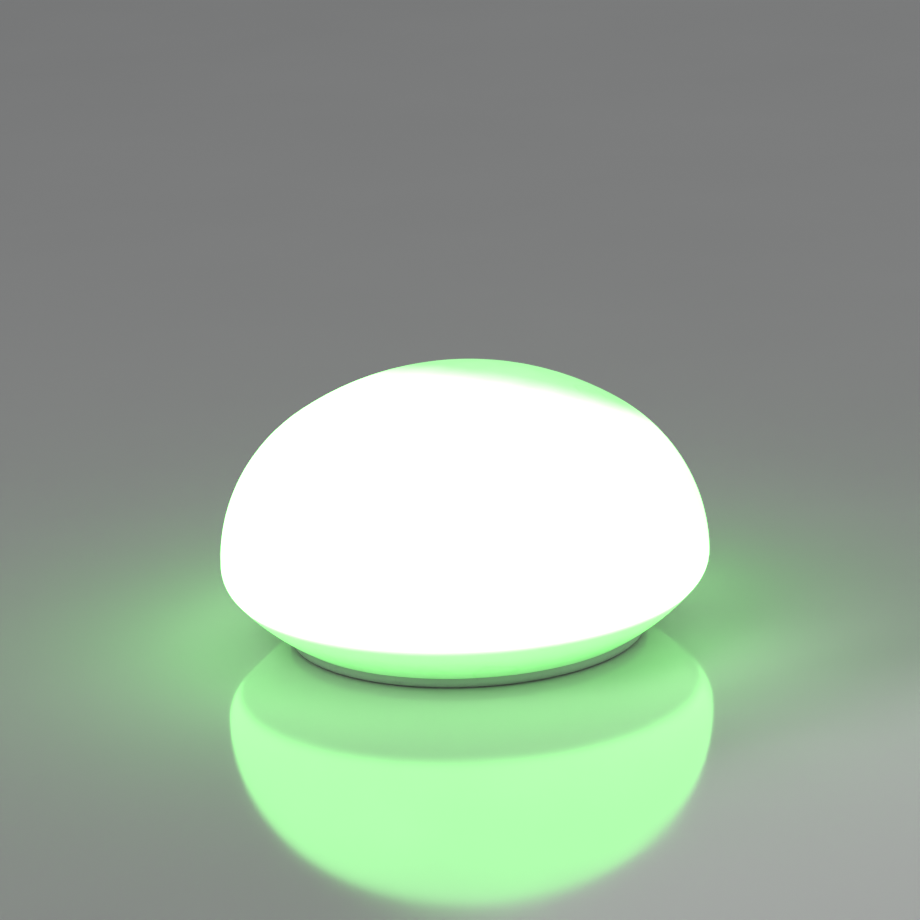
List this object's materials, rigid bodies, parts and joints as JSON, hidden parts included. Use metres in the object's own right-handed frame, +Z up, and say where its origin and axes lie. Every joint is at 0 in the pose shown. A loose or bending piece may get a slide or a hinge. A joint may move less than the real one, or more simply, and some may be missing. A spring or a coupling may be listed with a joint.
{
  "type": "floating pool light",
  "caption": "Bun-shaped floating pool light: a seamless glowing float shell over a screwed base with a twist battery cap, a sealed push button and a folding tether bail.",
  "frame": {"origin": "centre of the flat underside, which is the plane Z = 0", "axes": "+Z up through the crown of the float; +X towards the middle of the folded tether bail, with the push button on the -X side"},
  "size_m": [0.18, 0.18, 0.1002],
  "materials": {
    "float_shell": "satin",
    "brass": "satin",
    "base_plate": "satin",
    "seal_rubber": "matte",
    "stainless_steel": "satin",
    "battery_cap": "satin",
    "tray_plastic": "satin",
    "cell_wrap": "satin",
    "spring_steel": "satin",
    "white_plastic": "satin",
    "circuit_board": "satin",
    "led_package": "satin",
    "led_lens": "gloss",
    "chip_plastic": "matte",
    "capacitor_can": "satin",
    "resistor_ceramic": "matte",
    "power_button": "satin",
    "silicone": "matte",
    "wire_red": "satin",
    "wire_black": "satin",
    "bail_wire": "satin"
  },
  "bodies": {
    "housing": {"float_shell": "float_shell", "threaded_inserts": "brass", "base_plate": "base_plate", "base_gasket": "seal_rubber", "base_screws": "stainless_steel", "battery_tray": "tray_plastic", "battery_cell_1": "cell_wrap", "battery_cell_2": "cell_wrap", "battery_cell_3": "cell_wrap", "contact_plates": "spring_steel", "contact_springs": "spring_steel", "well_contacts": "spring_steel", "terminal_rivets": "brass", "reflector_skirt": "white_plastic", "led_board": "circuit_board", "rgb_leds": "led_package", "led_lenses": "led_lens", "controller_chip": "chip_plastic", "capacitor": "capacitor_can", "resistors": "resistor_ceramic", "board_screws": "stainless_steel", "button_membrane": "silicone", "membrane_ring": "tray_plastic", "switch_board": "circuit_board", "switch_board_screws": "stainless_steel", "switch_body": "chip_plastic", "switch_lead_1": "wire_black", "switch_lead_2": "wire_black", "battery_lead_red": "wire_red", "battery_lead_black": "wire_black"},
    "cap_seal": {"cap_seal": "seal_rubber"},
    "battery_cap": {"battery_cap": "battery_cap"},
    "power_button": {"power_button": "power_button"},
    "switch_plunger": {"switch_plunger": "white_plastic"},
    "tether_bail": {"tether_bail": "bail_wire"}
  },
  "joints": [
    {"name": "cap_drop", "type": "slide", "parent": "housing", "child": "cap_seal", "axis": [0, 0, -1], "range_m": [0, 0.0073]},
    {"name": "cap_turn", "type": "hinge", "parent": "cap_seal", "child": "battery_cap", "pos_m": [0, 0, 0], "axis": [0, 0, -1], "range_deg": [0, 72]},
    {"name": "button_press", "type": "slide", "parent": "housing", "child": "power_button", "axis": [0, 0, 1], "range_m": [0, 0.0006], "stiffness_N_per_m": 1500, "springref_m": -0.0005, "deforming": ["button_membrane"]},
    {"name": "plunger_press", "type": "slide", "parent": "housing", "child": "switch_plunger", "axis": [0, 0, 1], "range_m": [0, 0.0007]},
    {"name": "bail_swing", "type": "hinge", "parent": "housing", "child": "tether_bail", "pos_m": [-0.0026, 0, 0.0017], "axis": [0, 1, 0], "range_deg": [0, 110]}
  ],
  "couplings": [
    {"joint": "cap_drop", "follows": "cap_turn", "m_per_rad": 0.0057296},
    {"joint": "plunger_press", "follows": "button_press", "ratio": 1}
  ]
}
